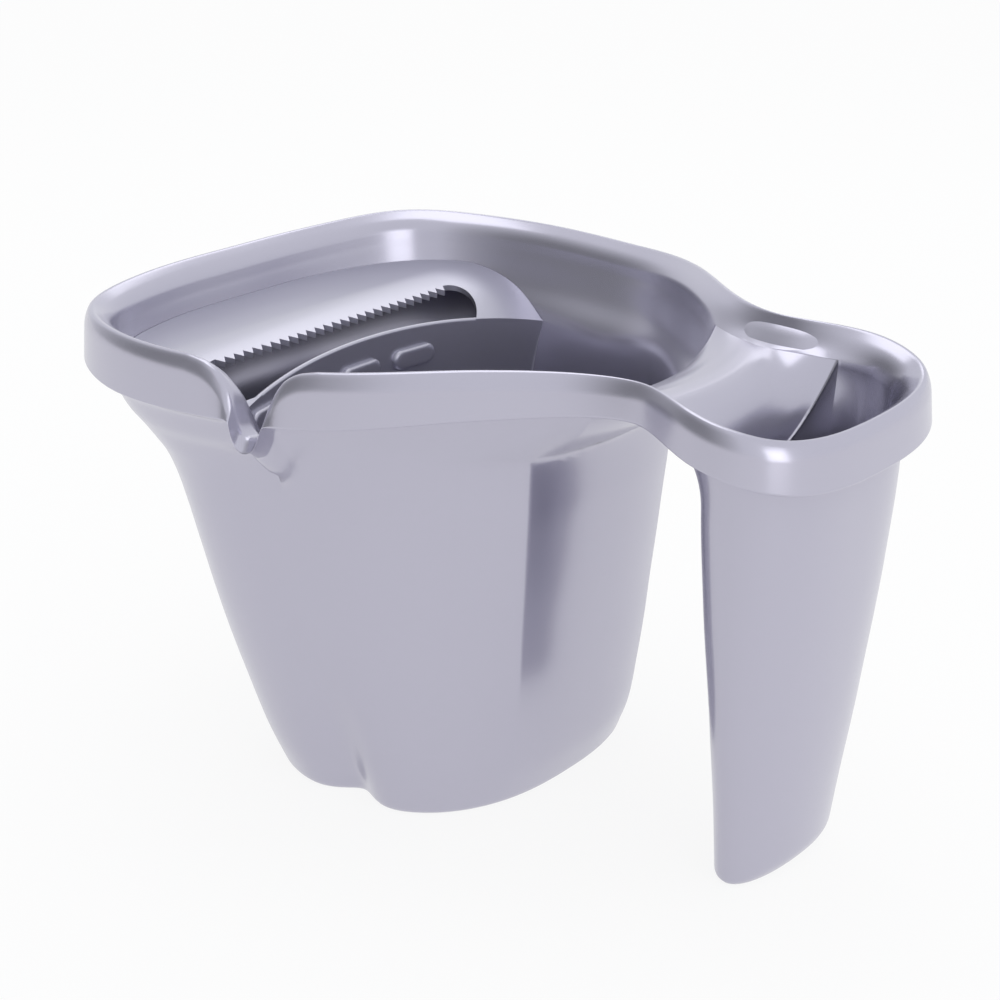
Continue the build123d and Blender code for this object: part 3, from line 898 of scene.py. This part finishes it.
def apron_object():
    """The bowed apron with its rounded upper edge, which shows as a lit strip in the slot."""
    pool = Pool()
    half = INSERT_SKIN / 2
    net = []
    for c in range(APRON_COLUMNS + 1):
        v = -1 + 2 * c / APRON_COLUMNS
        row = []
        for part in range(2 * APRON_ROWS + CROWN_STEPS + 1):
            if part <= APRON_ROWS:
                offset = -INSERT_SKIN
                share = part / APRON_ROWS
                crown = 0.0
            elif part <= APRON_ROWS + CROWN_STEPS:
                angle = math.pi * (part - APRON_ROWS) / CROWN_STEPS
                offset = -half - half * math.cos(angle)
                share = 1.0
                crown = half * math.sin(angle)
            else:
                offset = 0.0
                share = (2 * APRON_ROWS + CROWN_STEPS - part) / APRON_ROWS
                crown = 0.0
            end_side = 1 if v >= 0 else -1
            z_guess = APRON_BOTTOM + share * (APRON_TOP - APRON_BOTTOM)
            y = abs(v) * APRON_ENDS[end_side](z_guess)
            x = float(fold_x(y, 0.0)) + offset
            top = float(deck_height(float(fold_x(y)))) - APRON_SEAT
            z = APRON_BOTTOM + share * (top - APRON_BOTTOM) + crown
            row.append(np.array([x, y, z]))
        row.append(row[0])
        net.append(row)
    pool.grid(net, "wringer_apron")
    for row, flip in ((net[0], False), (net[-1], True)):
        middle = [row[k] for k in range(len(row) // 2)]
        mirror_row = [row[-1 - k] for k in range(len(row) // 2)]
        pool.grid([middle, mirror_row], "wringer_apron", flip=flip)
    objects_from(
        pool, {"wringer_apron": ("apron_sheet", INSERT, "wringer_insert", "insert_plastic")}
    )


def end_reader(side):
    """Where the apron meets the wall, as a reading over the height."""
    levels = np.linspace(APRON_BOTTOM - 2, 176, 20)
    ends = [wall_end(z, side, 0.0) for z in levels]
    return lambda z: float(np.interp(z, levels, ends))


APRON_ENDS = {side: end_reader(side) for side in (-1, 1)}


def rib_object():
    """Four pill-shaped ribs along the apron's face, with soft edges."""
    pool = Pool()
    for n in range(RIBS):
        middle_y = RIB_ROW_Y + (n - (RIBS - 1) / 2) * RIB_PITCH
        half = RIB_WIDTH / 2
        straight = RIB_LENGTH / 2 - half
        net = []
        for a in range(RIB_STEPS):
            angle = 2 * math.pi * a / RIB_STEPS
            side = straight if math.cos(angle) >= 0 else -straight
            row = []
            for share, lift in RIB_SECTION:
                y = middle_y + side * share + half * share * math.cos(angle)
                z = RIB_Z + half * share * math.sin(angle)
                x = float(fold_x(y)) + lift * RIB_STAND
                row.append(np.array([x, y, z]))
            net.append(row)
        pool.grid(net, "wringer_ribs", closed=True)
        last = [row[-1] for row in net]
        pool.face(last, "wringer_ribs")
    objects_from(
        pool, {"wringer_ribs": ("apron_ribs", INSERT, "wringer_insert", "insert_plastic")}
    )


deck_object()
apron_object()
rib_object()


# ------------------------------------------------------------------ floor, light and camera
def floor_material():
    """White to the camera and in reflections, and still a little darker in the shadow."""
    material = bpy.data.materials.new("white_floor")
    material.use_nodes = True
    nodes = material.node_tree.nodes
    links = material.node_tree.links
    nodes.clear()
    output = nodes.new("ShaderNodeOutputMaterial")
    matte = nodes.new("ShaderNodeBsdfDiffuse")
    matte.inputs["Color"].default_value = (0.9, 0.9, 0.9, 1)
    white = nodes.new("ShaderNodeEmission")
    white.inputs["Color"].default_value = (1, 1, 1, 1)
    white.inputs["Strength"].default_value = 1.0
    rays = nodes.new("ShaderNodeLightPath")
    seen = nodes.new("ShaderNodeMath")
    seen.operation = "MAXIMUM"
    seen_more = nodes.new("ShaderNodeMath")
    seen_more.operation = "MAXIMUM"
    amount = nodes.new("ShaderNodeMath")
    amount.operation = "MULTIPLY"
    amount.inputs[1].default_value = 0.88
    mix = nodes.new("ShaderNodeMixShader")
    links.new(rays.outputs["Is Camera Ray"], seen.inputs[0])
    links.new(rays.outputs["Is Glossy Ray"], seen.inputs[1])
    links.new(seen.outputs[0], seen_more.inputs[0])
    links.new(rays.outputs["Is Transmission Ray"], seen_more.inputs[1])
    links.new(seen_more.outputs[0], amount.inputs[0])
    links.new(amount.outputs[0], mix.inputs["Fac"])
    links.new(matte.outputs[0], mix.inputs[1])
    links.new(white.outputs[0], mix.inputs[2])
    links.new(mix.outputs[0], output.inputs["Surface"])
    return material


def add_floor():
    """A wide floor just under the pail."""
    half = 6.0
    corners = [(-half, -half, 0), (half, -half, 0), (half, half, 0), (-half, half, 0)]
    mesh = bpy.data.meshes.new("floor")
    mesh.from_pydata(corners, [], [(0, 1, 2, 3)])
    mesh.materials.append(floor_material())
    floor = bpy.data.objects.new("floor", mesh)
    floor.location.z = -0.0004
    bpy.context.scene.collection.objects.link(floor)


def add_world():
    """A pale studio all round, pure white to the camera."""
    world = bpy.data.worlds.new("studio")
    bpy.context.scene.world = world
    world.use_nodes = True
    nodes = world.node_tree.nodes
    links = world.node_tree.links
    nodes.clear()
    output = nodes.new("ShaderNodeOutputWorld")
    lit = nodes.new("ShaderNodeBackground")
    lit.inputs["Color"].default_value = (0.97, 0.98, 1.0, 1)
    # The studio is open toward the front left, so that side is darker.
    way = nodes.new("ShaderNodeTexCoord")
    toward_opening = nodes.new("ShaderNodeVectorMath")
    toward_opening.operation = "DOT_PRODUCT"
    toward_opening.inputs[1].default_value = (-0.60, -0.79, 0.10)
    strength = nodes.new("ShaderNodeMapRange")
    strength.inputs["From Min"].default_value = 0.45
    strength.inputs["From Max"].default_value = 0.95
    strength.inputs["To Min"].default_value = 0.98
    strength.inputs["To Max"].default_value = 0.26
    links.new(way.outputs["Generated"], toward_opening.inputs[0])
    links.new(toward_opening.outputs["Value"], strength.inputs["Value"])
    links.new(strength.outputs["Result"], lit.inputs["Strength"])
    seen = nodes.new("ShaderNodeBackground")
    seen.inputs["Color"].default_value = (1, 1, 1, 1)
    seen.inputs["Strength"].default_value = 1.0
    rays = nodes.new("ShaderNodeLightPath")
    mix = nodes.new("ShaderNodeMixShader")
    links.new(rays.outputs["Is Camera Ray"], mix.inputs["Fac"])
    links.new(lit.outputs[0], mix.inputs[1])
    links.new(seen.outputs[0], mix.inputs[2])
    links.new(mix.outputs[0], output.inputs["Surface"])


def add_lamp(name, place, target, size, power):
    """A soft square lamp that points at a target."""
    data = bpy.data.lights.new(name, "AREA")
    data.shape = "SQUARE"
    data.size = size
    data.energy = power
    lamp = bpy.data.objects.new(name, data)
    lamp.location = place
    lamp.rotation_mode = "QUATERNION"
    lamp.rotation_quaternion = (Vector(target) - Vector(place)).to_track_quat("-Z", "Y")
    bpy.context.scene.collection.objects.link(lamp)


CAMERA_PLACE = (0.48021, -0.61121, 0.42358)
CAMERA_TARGET = (-0.01579, 0.00891, 0.11135)
CAMERA_LENS = 72.36


def add_camera():
    """The camera, in front of the pail on the handle's side."""
    data = bpy.data.cameras.new("camera")
    data.lens = CAMERA_LENS
    data.sensor_width = 36.0
    camera = bpy.data.objects.new("camera", data)
    camera.location = CAMERA_PLACE
    camera.rotation_mode = "QUATERNION"
    view = Vector(CAMERA_TARGET) - Vector(CAMERA_PLACE)
    camera.rotation_quaternion = view.to_track_quat("-Z", "Y")
    bpy.context.scene.collection.objects.link(camera)
    bpy.context.scene.camera = camera


add_floor()
add_world()
add_lamp("top", (-0.3, 0.1, 1.5), (-0.02, 0, 0.12), 0.9, 3.0)
add_lamp("back", (-0.60, 0.98, 1.12), (0.0, 0, 0.15), 0.5, 0.8)
add_lamp("right", (1.6, -0.5, 0.35), (0.05, 0, 0.10), 0.8, 3.0)
add_camera()
bpy.context.scene.view_settings.view_transform = "Standard"
